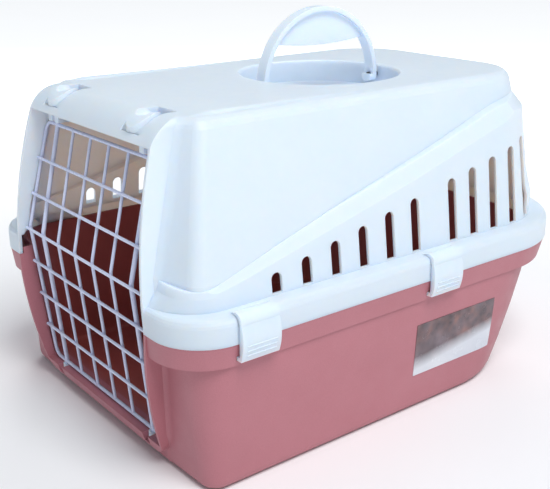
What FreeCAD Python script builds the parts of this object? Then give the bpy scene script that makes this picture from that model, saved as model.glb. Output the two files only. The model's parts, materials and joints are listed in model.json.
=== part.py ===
import FreeCAD, Part
import math
import os

V = FreeCAD.Vector

# Overall sizes, mm. The door faces -Y, the floor is z = 0, x = 0 is the middle.
LENGTH = 478.0            # outside length of the rim
WIDTH = 350.0             # outside width of the rim
SEAM_Z = 130.0            # plane where cover and tub meet
SKIRT_H = 22.0            # skirt of the cover above the seam
UPPER_H = 137.0           # roof above the skirt
WALL = 3.0                # moulded wall
RIM_R_FRONT = 45.0
RIM_R_REAR = 100.0
SKIRT_EDGE_R = 6.0

HALF_W = WIDTH / 2.0
FRONT = -LENGTH / 2.0
REAR = LENGTH / 2.0
LEDGE_Z = SEAM_Z + SKIRT_H
ROOF_Z = LEDGE_Z + UPPER_H
FAR = LENGTH              # beyond every face
CLEAR = 20.0              # overrun of cutting shapes
OVERLAP = 1.0             # how far joined pieces run into each other
LEAST_R = 0.8             # smallest corner
LEAST_GAP = 0.05
CROWN_STEPS = 4

# Door hoop of the cover and front strip of the tub
HOOP_HALF = HALF_W - 56.5     # outside half-width at the seam
HOOP_DRAFT = 0.0897           # inward lean of the hoop sides
LIP_Z = ROOF_Z - 19.0         # lower edge of the nose over the door
LIP_Y = FRONT + 20.0
NOSE_Y = FRONT + 48.0         # where the nose meets the roof
NOSE_BULGE = 4.6              # how far the nose bows out of its chord
PILLAR_BULGE = 4.0            # the same for the pillars
HOOP_EDGE_R = 7.0

# Upper walls
ROOF_HALF = HALF_W - 56.0
UPPER_LEAN = 0.287            # sideways growth per mm down
ROOF_REAR = REAR - 32.0
UPPER_REAR_LEAN = 0.06
UPPER_R_REAR = 62.0
SHOULDER_Y = FRONT + 56.0     # front shoulder of the upper walls at the roof
SHOULDER_LEAN = 0.262
SHOULDER_DEPTH = 10.0
SHOULDER_R = 12.0
HOLLOW_R = 13.0               # concave blend between hoop and walls
FLARE = 3.0                   # how far the walls reach into the hoop
FLARE_RUN = 15.0
FLARE_START = 0.4
ROOF_EDGE_R = 8.0
SKIRT_LAP = 10.0
UPPER_FOOT_Z = LEDGE_Z + 20.0  # the walls stand upright below this height

# Proud vented panel
VENT_HALF = HALF_W - 16.6
VENT_LEAN = 0.123
VENT_REAR = REAR - 16.5
VENT_REAR_LEAN = 0.07
VENT_R_REAR = 86.0
VENT_FRONT = FRONT + 4.5
VENT_FOOT_H = 11.0            # leaning foot of the panel's front
VENT_FOOT_SET = 8.0           # how far the front leans back over that height
VENT_R_FRONT = 44.0           # front corners at the ledge
VENT_R_TOP = 30.0             # and above the foot
VENT_SLOPE = 1.45             # steepness of the panel's sloped top
VENT_SUNK = 1.5               # panel foot inside the skirt
# Shoulder of the panel: Y, height of its edge above the ledge, height of the slope over the edge
DIAGONAL = [(FRONT - 7.0, 26.0, 3.0), (FRONT + 9.0, 18.0, 3.0), (FRONT + 27.0, 13.5, 3.0),
            (FRONT + 51.0, 15.5, 5.0), (FRONT + 110.0, 29.0, 9.0), (FRONT + 230.0, 58.0, 12.0),
            (REAR - 139.0, 87.5, 13.0), (REAR - 93.0, 99.0, 14.0), (REAR - 54.0, 103.5, 14.0),
            (REAR + 11.0, 104.5, 14.0)]

# Vent slots
SLOT_W = 10.4
SLOT_FIRST = FRONT + 96.5
SLOT_PITCH = 30.8
SLOT_FRONT_COUNT = 6
SLOT_REAR_FIRST = SLOT_FIRST + 201.5   # start of the rear group
SLOT_REAR_PITCH = 27.8
SLOT_REAR_COUNT = 5
SLOT_TOP_FIRST = LEDGE_Z + 17.4
SLOT_TOP_RISE = 0.197
SLOT_SILL = 1.0               # slot foot above the ledge
SLOT_REACH = 16.0

# Tub
TUB_HALF_SEAM = HALF_W - WALL - 1.0
TUB_HALF_FLOOR = TUB_HALF_SEAM - 8.0
TUB_FRONT_SEAM = FRONT + 17.0
TUB_FRONT_FLOOR = FRONT + 26.0
TUB_REAR_SEAM = REAR - 15.0
TUB_REAR_FLOOR = REAR - 58.5
TUB_REAR_BULGE = 4.8
TUB_R_FRONT_SEAM = 38.0
TUB_R_FRONT_FLOOR = 15.0
TUB_R_REAR = 104.0
TUB_HOLLOW_R = 7.0
TUB_STEP = 2.0
TUB_FLARE_RUN = 11.0          # how far the walls reach into the strip above its foot
TUB_EDGE = 8.0                # rounding of the floor edge
TUB_LIP = 6.0                 # locating lip above the seam
TUB_SHARES = (0.25, 0.5, 0.75)   # heights at which the bulged wall is shaped
STRIP_HALF_FOOT = HOOP_HALF - 11.1
STRIP_FOOT_Z = 12.0
STRIP_FOOT_Y = FRONT + 17.5
STRIP_BULGE = 3.4
STRIP_BACK = FRONT + 39.0
STRIP_CORNER_R = 15.0         # lower corners of the strip
BAND_Z = SEAM_Z - 19.0        # foot of the flared band under the seam
BAND_INSET = 0.5              # band inside the skirt at the seam
BAND_STEP = 1.5               # band proud of the wall at its foot
BAND_FRONT = FRONT + 2.0
BAND_REAR = REAR - 7.0        # the band overhangs the rear wall
BAND_R_REAR = 96.0
SILL_Z = 21.5
SILL_BACK = FRONT + 33.0

# Carry handle and its dish
DISH_Y = 32.0
HANDLE_SPAN = 142.0           # outside span of the half-round handle
HANDLE_R = HANDLE_SPAN / 2.0
DISH_R = HANDLE_R + 6.0
DISH_DRAFT = 2.5
DISH_EDGE_R = 2.0
DISH_Z = ROOF_Z - 21.0
HANDLE_Z = DISH_Z + 11.5
LEG_FOOT = 6.0                # leg below the pivot
LEG_FOOT_R = 5.0
GRIP_W = 12.5
FLANGE_T = 4.6
WEB_T = 4.2
WEB_DEEP = 36.0               # depth of the grip in the middle
WEB_SAG = 7.0                 # its lower edge is higher at the legs
LEG_DEEP = 9.0
LEG_SKIN = 2.5                # closed end of the pivot bores
PIN_END = 0.3                 # pivot pins stop short of it
PIN_D = 5.0
PIN_FIT = 0.05
PIN_BEDDED = 2.8

# Ridges along the roof edge
RIDGE_X = ROOF_HALF - 15.0
RIDGE_H = 2.2
RIDGE_W = 17.0
RIDGE_PEAK_Y = SHOULDER_Y + 18.0
RIDGE_RAMP = 20.0
RIDGE_RUN = 227.0
RIDGE_FOOT = 2.0
RIDGE_EDGE = 5.0              # bead inside the roof outline

# Side clips
CLIP_W = 36.0
CLIP_Y = (FRONT + 64.7, REAR - 209.0)
CLIP_T = 3.0
CLIP_GAP = 0.5
CLIP_BULGE = 2.2
CLIP_PIN_X = HALF_W - 6.0
CLIP_PIN_Z = LEDGE_Z - 2.6
CLIP_BARREL_R = 4.2
CLIP_BEND = 0.5               # roundness of the bend over the skirt edge
CLIP_FOOT_Z = BAND_Z + 4.5
CLIP_HOOK_Z = CLIP_FOOT_Z + 3.2
CLIP_HOOK_X = TUB_HALF_SEAM - 1.5
CLIP_RIB_R = 0.6
CLIP_RIB_UP = (5.0, 9.0, 13.0)   # grip ribs above the foot
CLIP_RIB_INSET = 4.0          # ribs end before the sides
CLIP_PIN_D = 2.6
CLIP_PIN_REACH = 4.0
NOTCH_GAP = 0.6
BOSS_W = 6.0

# Wire door: Y and Z of the bent uprights, half-widths of the frame
DOOR_TOP = (FRONT + 34.0, LIP_Z - 14.7)
DOOR_KINK = (FRONT + 10.5, LEDGE_Z + 5.2)
DOOR_FOOT = (FRONT + 23.2, SILL_Z + 2.8)
DOOR_HALF_TOP = HOOP_HALF - 17.0
DOOR_HALF_KINK = HOOP_HALF - 10.0
DOOR_HALF_FOOT = HOOP_HALF - 16.5
PIN_X = DOOR_HALF_TOP - 20.4
KINK_R = 16.0
FRAME_D = 3.4
WIRE_D = 2.8
ROD_D = 4.0
FRAME_R = 8.0
CROSS_COUNT = 6
UPRIGHT_COUNT = 4
CROSS_END = 2.0
WELD = 0.4
PIN_TOP_Z = LIP_Z - 4.6
PIN_FOOT_Z = SILL_Z - 6.0
BUSH_D = 8.0
BUSH_H = 7.0
BUSH_FIT = 0.02
GROOVE_GAP = 0.45
GROOVE_FLOOR = 1.5            # groove floor below the pivot ends

# Sliding latches
LATCH_X = PIN_X - 11.6
LATCH_FRONT = FRONT + 21.0
LATCH_TRAVEL = 8.0
LATCH_GAP = 0.5
LATCH_FLUSH = 0.6             # plate below the roof
TRACK_Z = ROOF_Z - 14.0
TRACK_FRONT = FRONT + 7.0
HEAD_R = 13.5                 # round finger knob
HEAD_Y = FRONT + 36.0
HEAD_PROUD = 3.2              # knob over the slope of the nose
HEAD_TOP = ROOF_Z + 0.9       # and its flat top
SCOOP_R = 11.0                # hollow of the knob
SCOOP_BACK = 5.0              # its centre behind the knob's
SCOOP_UP = 3.5                # and above the roof
JAW_HALF = 10.0
JAW_Z = (LIP_Z - 11.4, LIP_Z - 1.8)
JAW_BACK = 7.0
JAW_FRONT = 4.5
JAW_SLOT_GAP = 0.8
JAW_ROOM = 0.8                # above the pivot end
STEM_HALF = 3.2
STEM_FRONT = 1.5

# Label
LABEL_Y = (6.0, 110.0)
LABEL_Z = (36.0, 87.0)
LABEL_T = 0.4


def turn_corner(before, at, after):
    """Unit directions along both edges of a corner and the signed turn."""
    into = V(at[0] - before[0], at[1] - before[1], 0)
    out = V(after[0] - at[0], after[1] - at[1], 0)
    into.normalize()
    out.normalize()
    turn = math.atan2(into.x * out.y - into.y * out.x, into.dot(out))
    return into, out, turn


def flat(x, y, level):
    return V(x, y, level)


def upright(x, z, level):
    return V(x, level, z)


def rounded_wire(corners, level, place=flat):
    """Closed wire from (u, v, radius) corners, counter-clockwise, in a plane at the level."""
    count = len(corners)
    spans = []
    for i, (x, y, r) in enumerate(corners):
        into, out, turn = turn_corner(corners[i - 1], (x, y), corners[(i + 1) % count])
        reach = r * math.tan(abs(turn) / 2.0)
        bisector = out - into
        bisector.normalize()
        deep = r / math.cos(turn / 2.0) - r
        spans.append([place(x + d.x, y + d.y, level)
                      for d in (into * -reach, bisector * deep, out * reach)])
    edges = []
    for i in range(count):
        edges.append(Part.Arc(*spans[i]).toShape())
        edges.append(line(spans[i][2], spans[(i + 1) % count][0]))
    return Part.Wire(edges)


def inset(corners, gap):
    """Corners moved inward by gap, with radii that keep the outline parallel."""
    count = len(corners)
    moved = []
    for i, (x, y, r) in enumerate(corners):
        into, out, turn = turn_corner(corners[i - 1], (x, y), corners[(i + 1) % count])
        reach = gap * math.tan(turn / 2.0)
        px = x - into.y * gap - into.x * reach
        py = y + into.x * gap - into.y * reach
        grown = r - gap if turn > 0 else r + gap
        moved.append((px, py, max(grown, LEAST_R)))
    return moved


def mirrored(half):
    """Full outline from its right half, listed front to rear."""
    left = [(-x, y, r) for x, y, r in reversed(half)]
    return half + left


def between(a, b, t):
    return a + (b - a) * t


def skin(outline, levels):
    """Solid through the outline at the given (height, inset) levels."""
    wires = [rounded_wire(inset(outline(z), gap), z) for z, gap in levels]
    return Part.makeLoft(wires, True, True)


def crown(z, r, gap):
    """Levels that round a top or floor edge off with radius r, seen from below."""
    steps = [math.radians(90.0 * i / CROWN_STEPS) for i in range(CROWN_STEPS + 1)]
    return [(z - r + r * math.sin(a), gap + r - r * math.cos(a)) for a in steps]


def box(x0, x1, y0, y1, z0, z1):
    return Part.makeBox(x1 - x0, y1 - y0, z1 - z0, V(x0, y0, z0))


def side_slab(edges, half=FAR):
    """Profile in the YZ plane carried across the full width."""
    face = Part.Face(Part.Wire(edges))
    face.translate(V(-half, 0, 0))
    return face.extrude(V(2 * half, 0, 0))


def yz(y, z):
    return V(0, y, z)


def line(a, b):
    return Part.LineSegment(a, b).toShape()


def mirror_x(shape):
    return shape.mirror(V(0, 0, 0), V(1, 0, 0))


def both_sides(shapes):
    return shapes + [mirror_x(s) for s in shapes]


def chain(points):
    return [line(a, b) for a, b in zip(points, points[1:])]


def bow(a, b, bulge, outward):
    """Arc from a to b that bows out of its chord by bulge, towards outward."""
    chord = b - a
    normal = V(0, -chord.z, chord.y)
    normal.normalize()
    if normal.dot(outward) < 0:
        normal = normal * -1.0
    return Part.Arc(a, (a + b) * 0.5 + normal * bulge, b).toShape()


def hoop_half(z):
    return HOOP_HALF - HOOP_DRAFT * (z - SEAM_Z)


def strip_half(z):
    return between(STRIP_HALF_FOOT, HOOP_HALF, (z - STRIP_FOOT_Z) / (SEAM_Z - STRIP_FOOT_Z))


def rim(z):
    return mirrored([(HALF_W, FRONT, RIM_R_FRONT), (HALF_W, REAR, RIM_R_REAR)])


def upper(z):
    down = ROOF_Z - max(z, UPPER_FOOT_Z)
    side = ROOF_HALF + UPPER_LEAN * down
    shoulder = SHOULDER_Y - SHOULDER_LEAN * down
    foot = shoulder - SHOULDER_DEPTH
    hoop = hoop_half(z)
    return mirrored([(hoop - FLARE, foot - FLARE_RUN, LEAST_R), (hoop + FLARE_START, foot, HOLLOW_R),
                     (side, shoulder, SHOULDER_R),
                     (side, ROOF_REAR + UPPER_REAR_LEAN * down, UPPER_R_REAR)])


def vented(z):
    up = z - LEDGE_Z
    side = VENT_HALF - VENT_LEAN * up
    foot = min(up / VENT_FOOT_H, 1.0)
    front = VENT_FRONT + VENT_FOOT_SET * foot + SHOULDER_LEAN * max(up - VENT_FOOT_H, 0.0)
    return mirrored([(side, front, between(VENT_R_FRONT, VENT_R_TOP, foot)),
                     (side, VENT_REAR - VENT_REAR_LEAN * up, VENT_R_REAR)])


def tub_rear(t):
    """Y of the tub's rear wall, t running from the floor to the seam."""
    return between(TUB_REAR_FLOOR, TUB_REAR_SEAM, t) + 4 * TUB_REAR_BULGE * t * (1 - t)


def tub(z):
    t = z / SEAM_Z
    side = between(TUB_HALF_FLOOR, TUB_HALF_SEAM, t)
    front = between(TUB_FRONT_FLOOR, TUB_FRONT_SEAM, t)
    strip = strip_half(z)
    foot = front - TUB_STEP
    run = TUB_FLARE_RUN if z > SILL_Z else LEAST_R
    return mirrored([(strip - FLARE, foot - run, LEAST_R),
                     (strip + FLARE_START, foot, TUB_HOLLOW_R),
                     (side, front, between(TUB_R_FRONT_FLOOR, TUB_R_FRONT_SEAM, t)),
                     (side, tub_rear(t), TUB_R_REAR)])


def band(z):
    """Flared band of the tub, from close to its wall up to the rim."""
    t = (z - BAND_Z) / (SEAM_Z - BAND_Z)
    low = BAND_Z / SEAM_Z
    side = between(between(TUB_HALF_FLOOR, TUB_HALF_SEAM, low) + BAND_STEP, HALF_W, t)
    return mirrored([(side, between(BAND_FRONT, FRONT, t), RIM_R_FRONT),
                     (side, between(BAND_REAR, REAR, t), between(BAND_R_REAR, RIM_R_REAR, t))])


def u_slab(half_of, z0, z1, y0, y1, gap=0.0, top=LEAST_R, foot=LEAST_R):
    """Tapered slab with the sides of the hoop or strip, running along Y, its edges rounded."""
    corners = [(half_of(z0) - gap, z0, foot), (half_of(z1) - gap, z1, top),
               (gap - half_of(z1), z1, top), (gap - half_of(z0), z0, foot)]
    return Part.Face(rounded_wire(corners, y0, upright)).extrude(V(0, y1 - y0, 0))


LIP = yz(LIP_Y, LIP_Z)
NOSE_END = yz(NOSE_Y, ROOF_Z)


def nose_arc(gap=0.0):
    """Quarter of the nose, from the lip to the roof, moved inward by gap."""
    outward = V(0, -1, 1)
    edge = bow(LIP, NOSE_END, NOSE_BULGE, outward)
    if not gap:
        return edge
    circle = edge.Curve
    ends = []
    for p in (LIP, NOSE_END):
        spoke = p - circle.Center
        spoke.normalize()
        ends.append(circle.Center + spoke * (circle.Radius - gap))
    middle = edge.valueAt((edge.FirstParameter + edge.LastParameter) / 2.0) - circle.Center
    middle.normalize()
    return Part.Arc(ends[0], circle.Center + middle * (circle.Radius - gap), ends[1]).toShape()


def cover_profile(gap):
    """Side view of the cover's front: pillars and nose, or the hollow behind them."""
    low = SEAM_Z - CLEAR
    high = ROOF_Z + CLEAR
    nose = nose_arc(gap)
    lip, roof = sorted((v.Point for v in nose.Vertexes), key=lambda p: p.z)
    back = [roof, yz(roof.y, high), yz(FAR, high), yz(FAR, low)]
    if gap:
        return side_slab([nose] + chain(back + [yz(-FAR, low), yz(-FAR, lip.z), lip]))
    foot = yz(FRONT, LEDGE_Z)
    pillar = bow(foot, lip, PILLAR_BULGE, V(0, -1, 0))
    return side_slab([nose] + chain(back + [yz(FRONT, low), foot]) + [pillar])


def curve_face(points, level):
    """Face in the YZ plane between a smooth curve and a straight line at the level."""
    curve = Part.BSplineCurve()
    curve.interpolate(points)
    rest = chain([points[-1], yz(points[-1].y, level), yz(points[0].y, level), points[0]])
    return Part.Face(Part.Wire([curve.toShape()] + rest))


def diagonal_slab(drop):
    """Everything under the flat top of the vented panel."""
    points = [yz(y, LEDGE_Z + edge + slope - drop) for y, edge, slope in DIAGONAL]
    face = curve_face(points, SEAM_Z - CLEAR)
    face.translate(V(-FAR, 0, 0))
    return face.extrude(V(2 * FAR, 0, 0))


def slope_drop(gap):
    """How far the sloped top moves down when it moves inward by gap."""
    return gap * math.hypot(1.0, VENT_SLOPE)


def over_slope(gap):
    """Space over the sloped top of the panel, right side."""
    points = []
    for y, edge, slope in DIAGONAL:
        side = VENT_HALF - VENT_LEAN * edge
        points.append(yz(y, LEDGE_Z + edge + VENT_SLOPE * side - slope_drop(gap)))
    return curve_face(points, 2 * FAR).extrude(V(FAR, 0, -VENT_SLOPE * FAR))


def rear_slope(gap):
    """Everything under the sloped top at the rear of the panel."""
    edge = LEDGE_Z + DIAGONAL[-1][1] - slope_drop(gap)
    levels = [(z, (z - edge) / VENT_SLOPE) for z in (SEAM_Z, ROOF_Z)]
    return skin(vented, levels)


def cover_body(gap):
    """Upper walls, hoop and nose as one solid, moved inward by gap."""
    low = SEAM_Z - CLEAR if gap else LEDGE_Z - SKIRT_LAP
    top = ROOF_Z - gap
    walls = skin(upper, [(low, gap), (UPPER_FOOT_Z, gap)] + crown(top, ROOF_EDGE_R - gap, gap))
    hoop = u_slab(hoop_half, low, top, -FAR, 0.0, gap, HOOP_EDGE_R - gap)
    return walls.fuse(hoop).common(cover_profile(gap)).removeSplitter()


def vent_body(gap):
    """Proud panel below the diagonal, moved inward by gap."""
    low = LEDGE_Z - gap - VENT_SUNK
    panel = skin(vented, [(low, gap), (LEDGE_Z + VENT_FOOT_H, gap), (ROOF_Z, gap)])
    panel = panel.common(diagonal_slab(gap)).common(rear_slope(gap))
    return less(panel, both_sides([over_slope(gap)]))


def skirt_body(gap):
    """Skirt and ledge of the cover."""
    if gap:
        return skin(rim, [(SEAM_Z - CLEAR, gap), (LEDGE_Z - gap, gap)])
    return skin(rim, [(SEAM_Z, 0.0)] + crown(LEDGE_Z, SKIRT_EDGE_R, 0.0))


def slot_frame(s):
    """Place and outward direction of a slot at run s along the panel's foot."""
    turn_y = VENT_REAR - VENT_R_REAR
    if s <= turn_y:
        return V(VENT_HALF, s, 0), V(1, 0, 0)
    angle = (s - turn_y) / VENT_R_REAR
    normal = V(math.cos(angle), math.sin(angle), 0)
    return V(VENT_HALF - VENT_R_REAR, turn_y, 0) + normal * VENT_R_REAR, normal


def slot_cutter(s):
    """Round-topped slot through the panel wall."""
    place, normal = slot_frame(s)
    r = SLOT_W / 2.0
    foot = LEDGE_Z + SLOT_SILL
    top = SLOT_TOP_FIRST + SLOT_TOP_RISE * (s - SLOT_FIRST)
    a, b, c, d = [V(x, -SLOT_REACH, z) for x, z in ((-r, foot), (r, foot), (r, top - r), (-r, top - r))]
    arch = Part.Arc(c, V(0, -SLOT_REACH, top), d).toShape()
    cutter = Part.Face(Part.Wire(chain([a, b, c]) + [arch, line(d, a)])).extrude(V(0, 2 * SLOT_REACH, 0))
    cutter.rotate(V(0, 0, 0), V(0, 0, 1), math.degrees(math.atan2(normal.y, normal.x)) - 90.0)
    cutter.translate(place)
    return cutter


def slot_runs():
    front = [SLOT_FIRST + SLOT_PITCH * i for i in range(SLOT_FRONT_COUNT)]
    rear = [SLOT_REAR_FIRST + SLOT_REAR_PITCH * i for i in range(SLOT_REAR_COUNT)]
    return front + rear


def dish(gap):
    """Round hollow for the handle, grown by gap to leave its own wall."""
    deep = ROOF_Z - DISH_Z
    slope = DISH_DRAFT / deep
    high = ROOF_Z + CLEAR
    low = DISH_Z - gap
    hollow = Part.makeCone(DISH_R + gap + slope * (low - ROOF_Z), DISH_R + gap + slope * CLEAR,
                           high - low, V(0, DISH_Y, low))
    if gap:
        return hollow
    centre = V(0, DISH_Y, ROOF_Z - DISH_EDGE_R)
    edge = Part.makeCylinder(DISH_R + DISH_EDGE_R, DISH_EDGE_R, centre)
    return hollow.fuse(edge.cut(Part.makeTorus(DISH_R + DISH_EDGE_R, DISH_EDGE_R, centre)))


def track(side, gap):
    """Pocket in the nose for a sliding latch, grown by gap to leave its own wall."""
    half = HEAD_R + LATCH_GAP + gap
    back = HEAD_Y + HEAD_R + LATCH_TRAVEL + LATCH_GAP + gap
    return box(side * LATCH_X - half, side * LATCH_X + half, TRACK_FRONT, back,
               TRACK_Z - gap, ROOF_Z + CLEAR)


def stem_slot(side):
    """Way through the track floor for the latch stem."""
    half = STEM_HALF + LATCH_GAP
    pin_y = door_axis_y((JAW_Z[0] + JAW_Z[1]) / 2.0)
    return box(side * PIN_X - half, side * PIN_X + half, pin_y - STEM_FRONT - LATCH_GAP,
               pin_y + JAW_BACK + LATCH_TRAVEL + LATCH_GAP, TRACK_Z - WALL - OVERLAP,
               TRACK_Z + LATCH_GAP + 2 * OVERLAP)


def ridge():
    """Rounded bead along the roof edge, sinking into the roof at both ends."""
    foot = ROOF_Z - RIDGE_FOOT
    a, b = [V(RIDGE_X + side * RIDGE_W / 2.0, RIDGE_PEAK_Y, foot) for side in (-1, 1)]
    arc = Part.Arc(a, V(RIDGE_X, RIDGE_PEAK_Y, ROOF_Z + RIDGE_H), b).toShape()
    face = Part.Face(Part.Wire([arc, line(b, a)]))
    sink = -RIDGE_H - LEAST_GAP
    bead = face.extrude(V(0, RIDGE_RUN, sink)).fuse(face.extrude(V(0, -RIDGE_RAMP, sink)))
    return bead.common(skin(upper, [(LEDGE_Z, RIDGE_EDGE), (ROOF_Z + CLEAR, RIDGE_EDGE)]))


def door_axis_y(z):
    """Y of the door's hinge line at height z."""
    return between(DOOR_FOOT[0], DOOR_TOP[0], (z - DOOR_FOOT[1]) / (DOOR_TOP[1] - DOOR_FOOT[1]))


def clip_seats(grown):
    """Blocks that carry the clip pins (grown) or the notches the clips lie in."""
    half = CLIP_W / 2.0 + (BOSS_W if grown else NOTCH_GAP)
    back = CLIP_PIN_X - CLIP_BARREL_R - (BOSS_W if grown else NOTCH_GAP)
    front = HALF_W - WALL / 2.0 if grown else HALF_W + CLEAR
    low = CLIP_PIN_Z - CLIP_BARREL_R - (BOSS_W / 2.0 if grown else NOTCH_GAP)
    high = LEDGE_Z - WALL / 2.0 if grown else LEDGE_Z + CLEAR
    return both_sides([box(back, front, y - half, y + half, low, high) for y in CLIP_Y])


def clip_catches():
    """Pockets in the tub that the hooks of the clips enter."""
    half = CLIP_W / 2.0 + NOTCH_GAP
    return both_sides([box(CLIP_HOOK_X - NOTCH_GAP, HALF_W, y - half, y + half,
                           CLIP_FOOT_Z - NOTCH_GAP, CLIP_HOOK_Z + NOTCH_GAP) for y in CLIP_Y])


def clip_pin(y, radius, reach):
    half = CLIP_W / 2.0 + reach
    return Part.makeCylinder(radius, 2 * half, V(CLIP_PIN_X, y - half, CLIP_PIN_Z), V(0, 1, 0))


def joined(shape, others):
    for other in others:
        shape = shape.fuse(other)
    return shape


def less(shape, others):
    for other in others:
        shape = shape.cut(other)
    return shape


def make_cover():
    outer = joined(cover_body(0.0), [vent_body(0.0), skirt_body(0.0)] + both_sides([ridge()]))
    inner = joined(cover_body(WALL), [vent_body(WALL), skirt_body(WALL)])
    kept = [dish(WALL)] + [track(side, WALL) for side in (1, -1)] + clip_seats(True)
    cuts = [less(inner, kept), box(-FAR, FAR, -FAR, FAR, 0, SEAM_Z), dish(0.0)]
    for side in (1, -1):
        cuts += [track(side, 0.0), stem_slot(side), handle_pin(side, PIN_BEDDED)]
    cuts += clip_seats(False)
    cuts += both_sides([clip_pin(y, CLIP_PIN_D / 2.0, CLIP_PIN_REACH) for y in CLIP_Y])
    cuts += both_sides([slot_cutter(s) for s in slot_runs()])
    return less(outer, cuts).removeSplitter()


def tub_profile():
    """Side view of the front strip of the tub."""
    top = yz(FRONT, BAND_Z)
    foot = yz(STRIP_FOOT_Y, STRIP_FOOT_Z)
    front = bow(top, foot, STRIP_BULGE, V(0, -1, 0))
    rest = [foot, yz(FAR, STRIP_FOOT_Z), yz(FAR, SEAM_Z), yz(FRONT, SEAM_Z), top]
    return side_slab([front] + chain(rest))


def floor_levels(gap):
    """Levels of the rounded floor edge, moved inward by gap."""
    r = TUB_EDGE - gap
    return [(TUB_EDGE - z, step) for z, step in reversed(crown(r, r, gap))]


def wall_levels(gap):
    """Levels of the walls above the floor edge."""
    return [(SILL_Z, gap)] + [(SEAM_Z * share, gap) for share in TUB_SHARES] + [(SEAM_Z + TUB_LIP, gap)]


def make_tub():
    walls = skin(tub, floor_levels(0.0) + wall_levels(0.0))
    strip = u_slab(strip_half, STRIP_FOOT_Z, SEAM_Z, -FAR, STRIP_BACK, foot=STRIP_CORNER_R)
    strip = strip.common(tub_profile())
    solid = walls.fuse(strip)
    flare = skin(band, [(BAND_Z, 0.0), (SEAM_Z, BAND_INSET)])
    hollow = skin(band, [(BAND_Z - OVERLAP, WALL), (SEAM_Z - WALL, BAND_INSET + WALL)])
    shell = solid.fuse(flare.cut(hollow.cut(solid)))
    inside = skin(tub, floor_levels(WALL) + wall_levels(WALL) + [(SEAM_Z + CLEAR, WALL)])
    mouth = u_slab(strip_half, SILL_Z, SEAM_Z + CLEAR, -FAR, SILL_BACK, WALL)
    shell = less(shell, [inside, mouth])
    shell = shell.fuse(strip.common(box(-FAR, FAR, -FAR, SILL_BACK, STRIP_FOOT_Z, SILL_Z)))
    groove = BUSH_D / 2.0 + GROOVE_GAP
    floor = PIN_FOOT_Z - GROOVE_FLOOR
    centre = door_axis_y(SILL_Z)
    cuts = clip_catches()
    for x in (PIN_X, -PIN_X):
        cuts.append(box(x - groove, x + groove, -FAR, centre, floor, SILL_Z + CLEAR))
        cuts.append(Part.makeCylinder(groove, CLEAR, V(x, centre, floor)))
    return less(shell, cuts).removeSplitter()


def handle_disc(radius, width):
    """Round disc about the middle of the pivots, width along X."""
    return Part.makeCylinder(radius, width, V(-width / 2.0, DISH_Y, HANDLE_Z), V(1, 0, 0))


def handle_pin(sign, bedded, radius=PIN_D / 2.0, end=PIN_END):
    """Pivot pin from a blind bore in a leg into the dish wall; sign -1 is the front one."""
    start = HANDLE_R - LEG_DEEP + LEG_SKIN + end
    reach = DISH_R - DISH_DRAFT / 2.0 + bedded - start
    centre = V(0, DISH_Y + sign * start, HANDLE_Z)
    return Part.makeCylinder(radius, reach, centre, V(0, sign, 0))


def make_handle():
    """Half-round arch: a band round the outside, a thin grip web inside its top, pivot feet."""
    flange = handle_disc(HANDLE_R, GRIP_W).cut(handle_disc(HANDLE_R - FLANGE_T, 2 * GRIP_W))
    middle = HANDLE_Z + HANDLE_R - WEB_DEEP
    start, end = [yz(DISH_Y + side * HANDLE_R, middle + WEB_SAG) for side in (-1, 1)]
    low = HANDLE_Z - HANDLE_SPAN
    edge = Part.Arc(start, yz(DISH_Y, middle), end).toShape()
    below = side_slab([edge] + chain([end, yz(end.y, low), yz(start.y, low), start]), GRIP_W)
    web = handle_disc(HANDLE_R - FLANGE_T / 2.0, WEB_T).cut(below)
    arch = flange.fuse(web).common(box(-FAR, FAR, -FAR, FAR, HANDLE_Z, FAR))
    half = GRIP_W / 2.0
    low = HANDLE_Z - LEG_FOOT
    high = HANDLE_Z + OVERLAP
    corners = [(half, low, LEG_FOOT_R), (half, high, LEAST_R),
               (-half, high, LEAST_R), (-half, low, LEG_FOOT_R)]
    feet = []
    for sign in (1, -1):
        foot = Part.Face(rounded_wire(corners, DISH_Y + sign * HANDLE_R, upright))
        feet.append(foot.extrude(V(0, -sign * LEG_DEEP, 0)))
    bores = [handle_pin(sign, CLEAR, PIN_D / 2.0 + PIN_FIT, 0.0) for sign in (1, -1)]
    return less(joined(arch, feet), bores).removeSplitter()


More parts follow.
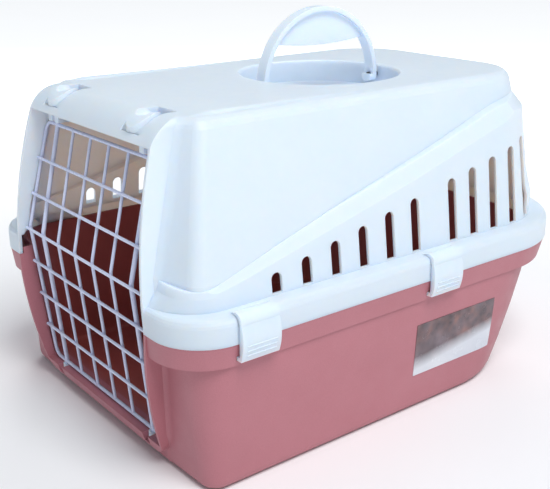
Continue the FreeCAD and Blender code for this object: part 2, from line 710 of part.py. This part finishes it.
def make_clip(y):
    """Curved clip with a barrel at its top, grip ribs and a hook that enters the tub."""
    x0 = HALF_W + CLIP_GAP
    x1 = x0 + CLIP_T
    middle = (CLIP_PIN_Z + CLIP_FOOT_Z) / 2.0
    start = y - CLIP_W / 2.0
    r = CLIP_BARREL_R

    def at(x, z):
        return V(x, start, z)

    top_out = at(CLIP_PIN_X, CLIP_PIN_Z + r)
    top_in = at(CLIP_PIN_X, CLIP_PIN_Z - r)
    shoulder = at(x1, CLIP_PIN_Z - r)
    foot_out = at(x1 - CLIP_T / 3.0, CLIP_FOOT_Z)
    bend = at(x1 - CLIP_T * CLIP_BEND, CLIP_PIN_Z + r * CLIP_BEND)
    face = Part.Arc(shoulder, at(x1 + CLIP_BULGE, middle), foot_out)
    edges = [Part.Arc(top_out, bend, shoulder).toShape(), face.toShape()]
    edges += chain([foot_out, at(CLIP_HOOK_X, CLIP_FOOT_Z), at(CLIP_HOOK_X, CLIP_HOOK_Z),
                    at(x0, CLIP_HOOK_Z), at(x0, CLIP_PIN_Z - r), top_in])
    edges.append(Part.Arc(top_in, at(CLIP_PIN_X - r, CLIP_PIN_Z), top_out).toShape())
    body = Part.Face(Part.Wire(edges)).extrude(V(0, CLIP_W, 0))
    ribs = []
    for up in CLIP_RIB_UP:
        level = line(at(x0, CLIP_FOOT_Z + up), at(x1 + CLIP_T, CLIP_FOOT_Z + up))
        touch = face.toShape().distToShape(level)[1][0][0]
        touch.y = start + CLIP_RIB_INSET
        ribs.append(Part.makeCylinder(CLIP_RIB_R, CLIP_W - 2 * CLIP_RIB_INSET, touch, V(0, 1, 0)))
    body = joined(body, ribs).removeSplitter()
    return body.cut(clip_pin(y, CLIP_PIN_D / 2.0 + PIN_FIT, CLIP_PIN_REACH))


def door_point(x, place, diameter):
    """Point of an upright's axis; the fronts of all uprights lie in one surface."""
    return V(x, place[0] - (ROD_D - diameter) / 2.0, place[1])


def soften(points, radii):
    """Path of straight runs with arcs at the inner points."""
    edges = []
    last = points[0]
    for before, corner, after, r in zip(points, points[1:], points[2:], radii):
        into = corner - before
        out = after - corner
        into.normalize()
        out.normalize()
        turn = into.getAngle(out)
        reach = r * math.tan(turn / 2.0)
        start = corner - into * reach
        end = corner + out * reach
        bisector = out - into
        bisector.normalize()
        edges.append(line(last, start))
        edges.append(Part.Arc(start, corner + bisector * (r / math.cos(turn / 2.0) - r), end).toShape())
        last = end
    edges.append(line(last, points[-1]))
    return Part.Wire(edges)


def wire_along(path, diameter):
    """Round wire along a path."""
    first = path.Edges[0]
    start = first.valueAt(first.FirstParameter)
    ring = Part.Wire(Part.makeCircle(diameter / 2.0, start, first.tangentAt(first.FirstParameter)))
    return path.makePipeShell([ring], True, True)


def make_upright(x):
    path = [door_point(x, place, WIRE_D) for place in (DOOR_FOOT, DOOR_KINK, DOOR_TOP)]
    return wire_along(soften(path, [KINK_R]), WIRE_D)


def make_frame_wire():
    """Outer loop of the door."""
    stops = ((0, DOOR_FOOT), (DOOR_HALF_FOOT, DOOR_FOOT), (DOOR_HALF_KINK, DOOR_KINK),
             (DOOR_HALF_TOP, DOOR_TOP), (0, DOOR_TOP))
    right = [door_point(x, place, FRAME_D) for x, place in stops]
    half = wire_along(soften(right, [FRAME_R, KINK_R, FRAME_R]), FRAME_D)
    return half.fuse(mirror_x(half)).removeSplitter()


def make_rod(x, diameter=ROD_D):
    """Thick upright whose ends are the pivots."""
    tip = (door_axis_y(PIN_TOP_Z), PIN_TOP_Z)
    foot = (door_axis_y(PIN_FOOT_Z), PIN_FOOT_Z)
    path = [door_point(x, place, ROD_D) for place in (foot, DOOR_FOOT, DOOR_KINK, DOOR_TOP, tip)]
    return wire_along(soften(path, [KINK_R / 4.0, KINK_R, KINK_R / 4.0]), diameter)


def cross_places():
    """Height, Y and half-length of each cross wire, counted from the top."""
    step = (DOOR_TOP[1] - DOOR_FOOT[1]) / (CROSS_COUNT + 1)
    places = []
    for i in range(1, CROSS_COUNT + 1):
        z = DOOR_TOP[1] - step * i
        if z > DOOR_KINK[1]:
            low, high, half = DOOR_KINK, DOOR_TOP, (DOOR_HALF_KINK, DOOR_HALF_TOP)
        else:
            low, high, half = DOOR_FOOT, DOOR_KINK, (DOOR_HALF_FOOT, DOOR_HALF_KINK)
        t = (z - low[1]) / (high[1] - low[1])
        places.append((z, between(low[0], high[0], t), between(half[0], half[1], t)))
    return places


def make_cross_wires():
    offset = (ROD_D + WIRE_D) / 2.0 - WELD
    wires = []
    for z, y, half in cross_places():
        reach = half + CROSS_END
        wires.append(Part.makeCylinder(WIRE_D / 2.0, 2 * reach, V(-reach, y - offset, z), V(1, 0, 0)))
    return wires


def make_bush(x):
    """Foot bush round the lower end of a pivot rod."""
    low = V(x, door_axis_y(PIN_FOOT_Z), PIN_FOOT_Z)
    high = V(x, door_axis_y(PIN_FOOT_Z + BUSH_H), PIN_FOOT_Z + BUSH_H)
    up = high - low
    bush = Part.makeCylinder(BUSH_D / 2.0, up.Length, low, up)
    return bush.cut(make_rod(x, ROD_D + 2 * BUSH_FIT))


def make_latch(side):
    """Sliding latch: plate in the track, round knob with a finger scoop, stem and keeper jaw."""
    x = side * LATCH_X
    foot = TRACK_Z + LATCH_GAP
    plate = box(x - HEAD_R, x + HEAD_R, LATCH_FRONT, HEAD_Y, foot, ROOF_Z - LATCH_FLUSH)
    plate = plate.common(cover_profile(LATCH_FLUSH))
    knob = Part.makeCylinder(HEAD_R, HEAD_TOP - foot, V(x, HEAD_Y, foot))
    knob = knob.common(cover_profile(-HEAD_PROUD))
    pin_y = door_axis_y((JAW_Z[0] + JAW_Z[1]) / 2.0)
    px = side * PIN_X
    stem = box(px - STEM_HALF, px + STEM_HALF, pin_y - STEM_FRONT, pin_y + JAW_BACK,
               JAW_Z[1] - OVERLAP, foot + OVERLAP)
    jaw = box(px - JAW_HALF, px + JAW_HALF, pin_y - JAW_FRONT, pin_y + JAW_BACK, JAW_Z[0], JAW_Z[1])
    slot_r = ROD_D / 2.0 + JAW_SLOT_GAP
    gate = box(px - slot_r, px + slot_r, -FAR, pin_y + slot_r, JAW_Z[0], PIN_TOP_Z + JAW_ROOM)
    scoop = Part.makeSphere(SCOOP_R, V(x, HEAD_Y + SCOOP_BACK, ROOF_Z + SCOOP_UP))
    return less(joined(plate, [knob, stem, jaw]), [gate, scoop]).removeSplitter()


def make_label():
    """Thin film that follows the right wall of the tub."""
    outside, inside = [skin(tub, [(TUB_EDGE, -out)] + wall_levels(-out))
                       for out in (LEAST_GAP + LABEL_T, LEAST_GAP)]
    film = outside.cut(inside)
    return film.common(box(0, FAR, LABEL_Y[0], LABEL_Y[1], LABEL_Z[0], LABEL_Z[1]))


def export(shapes, node):
    solids = [piece for shape in shapes for piece in shape.Solids]
    body = solids[0] if len(solids) == 1 else Part.makeCompound(solids)
    body.exportStep("parts/" + node + ".step")


def main():
    os.makedirs("parts", exist_ok=True)
    export([make_tub()], "lower_tub")
    export([make_cover()], "upper_cover")
    export([make_handle()], "carry_handle")
    for sign, end in ((-1, "front"), (1, "rear")):
        export([handle_pin(sign, PIN_BEDDED)], "handle_pin_" + end)
    for y, end in zip(CLIP_Y, ("front", "rear")):
        clip = make_clip(y)
        pin = clip_pin(y, CLIP_PIN_D / 2.0, CLIP_PIN_REACH)
        export([clip], "clip_" + end + "_right")
        export([pin], "clip_pin_" + end + "_right")
        export([mirror_x(clip)], "clip_" + end + "_left")
        export([mirror_x(pin)], "clip_pin_" + end + "_left")
    export([make_frame_wire()], "door_frame_wire")
    inner = 2.0 * PIN_X / (UPRIGHT_COUNT + 1)
    export([make_upright(inner * (i + 1) - PIN_X) for i in range(UPRIGHT_COUNT)], "door_upright_wires")
    export(make_cross_wires(), "door_cross_wires")
    for side, name in ((-1, "left"), (1, "right")):
        export([make_rod(side * PIN_X)], "door_rod_" + name)
        export([make_bush(side * PIN_X)], "door_bush_" + name)
        export([make_latch(side)], "door_latch_" + name)
    export([make_label()], "side_label")


main()
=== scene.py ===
import json
import math

import bpy
from mathutils import Matrix, Vector


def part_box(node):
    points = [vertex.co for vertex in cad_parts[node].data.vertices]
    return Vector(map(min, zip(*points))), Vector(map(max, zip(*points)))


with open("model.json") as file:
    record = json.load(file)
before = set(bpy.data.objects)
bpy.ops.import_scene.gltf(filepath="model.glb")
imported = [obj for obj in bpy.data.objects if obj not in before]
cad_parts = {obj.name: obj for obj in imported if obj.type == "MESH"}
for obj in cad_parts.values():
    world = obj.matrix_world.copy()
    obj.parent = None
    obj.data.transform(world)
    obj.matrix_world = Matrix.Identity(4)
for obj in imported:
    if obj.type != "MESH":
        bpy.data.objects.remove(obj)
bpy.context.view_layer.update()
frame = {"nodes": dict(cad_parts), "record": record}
nodes = frame["nodes"]
scene = bpy.context.scene

WHITE = (1.0, 1.0, 1.0, 1.0)

# Inner faces of the two shells: where they are, in metres, and the tones painted on them: painted
# warm bounce light inside the cover, painted shade inside the tub
DISH_FLOOR_Z = 0.265          # above it, only faces that look down are inside
DOOR_BACK_Y = -0.19           # in front of it, no face is inside
COVER_EYE_Z = 0.05            # height on the middle line that the cover's inner faces look at
TUB_EYE_Z = 0.16              # the same for the tub's inner faces
COVER_PAINTED_BOUNCE = (0.88, 0.81, 0.775)
TUB_PAINTED_SHADE = (0.46, 0.105, 0.095)

# Floor, in metres from the middle of the carrier
FLOOR_REACH = 6.0
FLOOR_DROP = 0.0002           # keeps the floor just under the tub
GLOW_START = 0.4              # the floor brightens from here
GLOW_END = 1.6                # to here
FLOOR_GLOW = 0.6

# Light
LAMP_TARGET = (0.0, 0.0, 0.15)
LAMP_SIZE = 1.5
KEY_PLACE = (1.35, -0.2, 2.36)
KEY_POWER = 53.0
BACK_PLACE = (-1.7, 1.3, 1.0)
BACK_POWER = 20.0
SKY_COLOUR = (0.86, 0.93, 1.0, 1.0)
SKY_LIGHT = 0.36              # strength of the light that the sky gives
SKY_SEEN = 0.95               # strength of the sky that the camera sees

# Camera at the photograph's angle, in metres, degrees and millimetres of lens
CAMERA_PLACE = (0.68445, -0.55086, 0.42599)
CAMERA_AZIMUTH = 52.36
CAMERA_ELEVATION = 19.28
CAMERA_ROLL = -0.39
CAMERA_LENS = 60.5
CAMERA_SENSOR = 36.0
CAMERA_NEAR = 0.02

# Places of the colour sockets on Blender's Mix node, whose names aren't unique
MIX_FACTOR = 0
MIX_FIRST = 6
MIX_SECOND = 7
MIX_RESULT = 2


class Shade:
    """Small builder for one node material."""

    def __init__(self, name):
        self.material = bpy.data.materials.new(name)
        self.material.use_nodes = True
        self.tree = self.material.node_tree
        self.shader = self.tree.nodes["Principled BSDF"]
        self.place = self.add("ShaderNodeTexCoord").outputs["Object"]

    def add(self, kind, **values):
        node = self.tree.nodes.new(kind)
        for key, value in values.items():
            setattr(node, key, value)
        return node

    def link(self, source, target):
        self.tree.links.new(source, target)

    def feed(self, value, socket):
        """Put a number, a colour or another node's output into a socket."""
        if isinstance(value, tuple):
            socket.default_value = (*value, 1.0)
        elif isinstance(value, float):
            socket.default_value = value
        else:
            self.link(value, socket)

    def constant(self, **values):
        for key, value in values.items():
            self.shader.inputs[key.replace("_", " ")].default_value = value

    def colour(self, tone):
        self.link(tone, self.shader.inputs["Base Color"])

    def roughness(self, noise, low, high):
        self.link(self.between(noise, 0.3, 0.7, low, high), self.shader.inputs["Roughness"])

    def noise(self, scale, detail=4.0, stretch=None):
        """Noise over the object in metres; stretch scales the axes first."""
        node = self.add("ShaderNodeTexNoise")
        node.inputs["Scale"].default_value = scale
        node.inputs["Detail"].default_value = detail
        node.inputs["Roughness"].default_value = 0.55
        source = self.place
        if stretch:
            mapping = self.add("ShaderNodeMapping")
            mapping.inputs["Scale"].default_value = stretch
            self.link(source, mapping.inputs["Vector"])
            source = mapping.outputs["Vector"]
        self.link(source, node.inputs["Vector"])
        return node.outputs["Fac"]

    def ramp(self, fac, stops):
        node = self.add("ShaderNodeValToRGB")
        ends = node.color_ramp.elements
        while len(ends) < len(stops):
            ends.new(0.5)
        for end, (at, colour) in zip(ends, stops):
            end.position = at
            end.color = (*colour, 1.0)
        self.link(fac, node.inputs["Fac"])
        return node.outputs["Color"]

    def between(self, value, low, high, to_low, to_high):
        node = self.add("ShaderNodeMapRange")
        ends = {"From Min": low, "From Max": high, "To Min": to_low, "To Max": to_high}
        for name, number in ends.items():
            node.inputs[name].default_value = number
        self.link(value, node.inputs["Value"])
        return node.outputs["Result"]

    def above(self, value, level, spread):
        """Soft step: 0 below the level, 1 above it."""
        return self.between(value, level - spread, level + spread, 0.0, 1.0)

    def below(self, value, level, spread):
        """Soft step: 1 below the level, 0 above it."""
        return self.between(value, level - spread, level + spread, 1.0, 0.0)

    def math(self, kind, first, second):
        node = self.add("ShaderNodeMath", operation=kind)
        for value, socket in zip((first, second), node.inputs):
            self.feed(value, socket)
        return node.outputs["Value"]

    def mix(self, fac, first, second, blend="MIX"):
        node = self.add("ShaderNodeMix", data_type="RGBA", blend_type=blend)
        self.feed(fac, node.inputs[MIX_FACTOR])
        self.feed(first, node.inputs[MIX_FIRST])
        self.feed(second, node.inputs[MIX_SECOND])
        return node.outputs[MIX_RESULT]

    def part(self, vector, axis):
        split = self.add("ShaderNodeSeparateXYZ")
        self.link(vector, split.inputs["Vector"])
        return split.outputs[axis]

    def inward(self, height):
        """1 on the faces of a shell that look at the cabin's middle line at this height, else 0."""
        to_centre = self.add("ShaderNodeVectorMath", operation="SUBTRACT")
        to_centre.inputs[0].default_value = (0.0, 0.0, height)
        self.link(self.place, to_centre.inputs[1])
        normal = self.add("ShaderNodeTexCoord").outputs["Normal"]
        facing = self.add("ShaderNodeVectorMath", operation="DOT_PRODUCT")
        self.link(normal, facing.inputs[0])
        self.link(to_centre.outputs["Vector"], facing.inputs[1])
        looks_in = self.above(facing.outputs["Value"], 0.0, 0.004)
        under_dish = self.below(self.part(self.place, "Z"), DISH_FLOOR_Z, 0.001)
        looks_down = self.below(self.part(normal, "Z"), -0.5, 0.1)
        behind_door = self.above(self.part(self.place, "Y"), DOOR_BACK_Y, 0.01)
        inside = self.math("MULTIPLY", looks_in, self.math("MAXIMUM", under_dish, looks_down))
        return self.math("MULTIPLY", inside, behind_door)

    def relief(self, layers):
        """Chain of bumps from (height, depth in metres)."""
        normal = None
        for height, depth in layers:
            bump = self.add("ShaderNodeBump")
            bump.inputs["Strength"].default_value = 1.0
            bump.inputs["Distance"].default_value = depth
            self.link(height, bump.inputs["Height"])
            if normal:
                self.link(normal, bump.inputs["Normal"])
            normal = bump.outputs["Normal"]
        self.link(normal, self.shader.inputs["Normal"])


def white_plastic(name, shell=False):
    """Translucent moulded plastic; a shell gets painted warm bounce light on its inner faces."""
    shade = Shade(name)
    cloud = shade.noise(14.0, 3.0)
    tone = shade.ramp(cloud, [(0.25, (0.72, 0.825, 0.98)), (0.75, (0.75, 0.85, 0.995))])
    if shell:
        # painted warm bounce light from the pink tub on the cover's inner faces
        tone = shade.mix(shade.inward(COVER_EYE_Z), tone, COVER_PAINTED_BOUNCE)
    shade.colour(tone)
    shade.roughness(shade.noise(90.0), 0.34, 0.46)
    shade.relief([(shade.noise(45.0, 2.0), 0.0004), (shade.noise(1600.0, 2.0), 0.00003)])
    shade.constant(IOR=1.5, Subsurface_Weight=0.8, Subsurface_Scale=0.01)
    shade.constant(Subsurface_Radius=(1.0, 0.75, 0.6))
    return shade.material


def pink_plastic():
    """Fine-grained moulded plastic, darkened by painted shade on the tub's inner faces."""
    shade = Shade("pink_plastic")
    cloud = shade.noise(10.0)
    tone = shade.ramp(cloud, [(0.25, (0.485, 0.180, 0.213)), (0.75, (0.53, 0.202, 0.240))])
    grain = shade.noise(1400.0, 2.0)
    speckle = shade.ramp(grain, [(0.35, (0.93, 0.93, 0.93)), (0.65, (1.0, 1.0, 1.0))])
    tone = shade.mix(1.0, tone, speckle, blend="MULTIPLY")
    # painted shade on the tub's inner faces, a darker maroon where little light gets in
    shade.colour(shade.mix(shade.inward(TUB_EYE_Z), tone, TUB_PAINTED_SHADE))
    shade.roughness(shade.noise(70.0), 0.42, 0.56)
    shade.relief([(shade.noise(30.0, 2.0), 0.0005), (grain, 0.00006)])
    shade.constant(IOR=1.48)
    return shade.material


def coated_wire():
    shade = Shade("coated_wire")
    cloud = shade.noise(60.0)
    shade.colour(shade.ramp(cloud, [(0.3, (0.66, 0.72, 0.95)), (0.7, (0.73, 0.78, 0.98))]))
    shade.roughness(shade.noise(300.0), 0.24, 0.36)
    shade.relief([(shade.noise(240.0, 2.0), 0.0002)])
    shade.constant(IOR=1.5, Coat_Weight=0.25, Coat_Roughness=0.2)
    return shade.material


def steel():
    shade = Shade("steel")
    drawn = shade.noise(120.0, 3.0, stretch=(6.0, 0.6, 6.0))
    shade.colour(shade.ramp(drawn, [(0.3, (0.09, 0.09, 0.10)), (0.7, (0.16, 0.16, 0.17))]))
    shade.roughness(drawn, 0.3, 0.5)
    shade.relief([(drawn, 0.00008)])
    shade.constant(Metallic=1.0)
    return shade.material


def label_film():
    """Plain decorative film: warm mottled field running out into a pale blue-grey one."""
    shade = Shade("label_film")
    low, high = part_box("side_label")
    along = shade.between(shade.part(shade.place, "Y"), low.y, high.y, 0.0, 1.0)
    up = shade.between(shade.part(shade.place, "Z"), low.z, high.z, 0.0, 1.0)
    cell = shade.add("ShaderNodeTexVoronoi", feature="SMOOTH_F1")
    cell.inputs["Scale"].default_value = 140.0
    shade.link(shade.place, cell.inputs["Vector"])
    browns = [(0.1, (0.045, 0.03, 0.035)), (0.45, (0.14, 0.075, 0.075)), (0.9, (0.36, 0.15, 0.11))]
    warm = shade.ramp(cell.outputs["Distance"], browns)
    veil = shade.ramp(shade.noise(35.0), [(0.3, (0.09, 0.075, 0.09)), (0.7, (0.27, 0.21, 0.24))])
    field = shade.mix(shade.above(shade.noise(22.0), 0.5, 0.15), warm, veil)
    pale = shade.ramp(shade.noise(18.0), [(0.3, (0.66, 0.70, 0.78)), (0.7, (0.80, 0.82, 0.86))])
    slope = shade.math("ADD", up, shade.math("MULTIPLY", shade.noise(16.0), 0.1))
    slope = shade.math("SUBTRACT", slope, shade.math("MULTIPLY", along, 0.25))
    shade.colour(shade.mix(shade.below(slope, 0.29, 0.13), field, pale))
    shade.roughness(shade.noise(60.0), 0.2, 0.3)
    shade.relief([(shade.noise(55.0, 2.0), 0.0006)])
    shade.constant(IOR=1.5)
    return shade.material


finishes = {
    "white_plastic": white_plastic("white_plastic"),
    "pink_plastic": pink_plastic(),
    "coated_wire": coated_wire(),
    "steel": steel(),
    "label": label_film(),
}
for part in frame["record"]["subparts"]:
    mesh = nodes[part["node"]].data
    mesh.materials.clear()
    mesh.materials.append(finishes[part["material_slot"]])
nodes["upper_cover"].data.materials[0] = white_plastic("white_shell", shell=True)


def stage_floor():
    """Pale floor that brightens away from the carrier, as a white sweep does."""
    shade = Shade("floor")
    shade.colour(shade.ramp(shade.noise(3.0), [(0.3, (0.92, 0.92, 0.93)), (0.7, (0.94, 0.94, 0.95))]))
    distance = shade.add("ShaderNodeVectorMath", operation="LENGTH")
    shade.link(shade.place, distance.inputs[0])
    glow = shade.between(distance.outputs["Value"], GLOW_START, GLOW_END, 0.0, FLOOR_GLOW)
    shade.link(glow, shade.shader.inputs["Emission Strength"])
    shade.constant(Roughness=0.9, Emission_Color=WHITE)
    signs = ((-1, -1), (1, -1), (1, 1), (-1, 1))
    corners = [(x * FLOOR_REACH, y * FLOOR_REACH, 0.0) for x, y in signs]
    mesh = bpy.data.meshes.new("floor")
    mesh.from_pydata(corners, [], [(0, 1, 2, 3)])
    mesh.materials.append(shade.material)
    floor = bpy.data.objects.new("floor", mesh)
    floor.location.z = -FLOOR_DROP
    scene.collection.objects.link(floor)


def lamp(name, place, power):
    data = bpy.data.lights.new(name, "AREA")
    data.shape = "DISK"
    data.size = LAMP_SIZE
    data.energy = power
    lamp_object = bpy.data.objects.new(name, data)
    lamp_object.location = place
    aim = Vector(LAMP_TARGET) - Vector(place)
    lamp_object.rotation_euler = aim.to_track_quat("-Z", "Y").to_euler()
    scene.collection.objects.link(lamp_object)
    return lamp_object


def studio_sky():
    """Even pale light, with a brighter sky where the camera sees it."""
    world = bpy.data.worlds.new("studio")
    world.use_nodes = True
    tree = world.node_tree
    sky = tree.nodes["Background"]
    sky.inputs["Color"].default_value = SKY_COLOUR
    strength = tree.nodes.new("ShaderNodeMapRange")
    strength.inputs["To Min"].default_value = SKY_LIGHT
    strength.inputs["To Max"].default_value = SKY_SEEN
    rays = tree.nodes.new("ShaderNodeLightPath")
    tree.links.new(rays.outputs["Is Camera Ray"], strength.inputs["Value"])
    tree.links.new(strength.outputs["Result"], sky.inputs["Strength"])
    scene.world = world


def photo_camera():
    angles = (CAMERA_AZIMUTH, CAMERA_ELEVATION, CAMERA_ROLL)
    azimuth, elevation, roll = [math.radians(angle) for angle in angles]
    flat = math.cos(elevation)
    back = Vector((math.sin(azimuth) * flat, -math.cos(azimuth) * flat, math.sin(elevation)))
    right = Vector((math.cos(azimuth), math.sin(azimuth), 0.0))
    up = back.cross(right)
    across = math.cos(roll) * right + math.sin(roll) * up
    upward = math.cos(roll) * up - math.sin(roll) * right
    data = bpy.data.cameras.new("camera")
    data.sensor_fit = "HORIZONTAL"
    data.sensor_width = CAMERA_SENSOR
    data.lens = CAMERA_LENS
    data.clip_start = CAMERA_NEAR
    camera = bpy.data.objects.new("camera", data)
    placed = Matrix((across, upward, back)).transposed().to_4x4()
    placed.translation = Vector(CAMERA_PLACE)
    camera.matrix_world = placed
    scene.collection.objects.link(camera)
    scene.camera = camera


stage_floor()
lamp("key", KEY_PLACE, KEY_POWER)
back_lamp = lamp("back", BACK_PLACE, BACK_POWER)
back_lamp.visible_glossy = False
studio_sky()
scene.view_settings.view_transform = "Standard"
photo_camera()
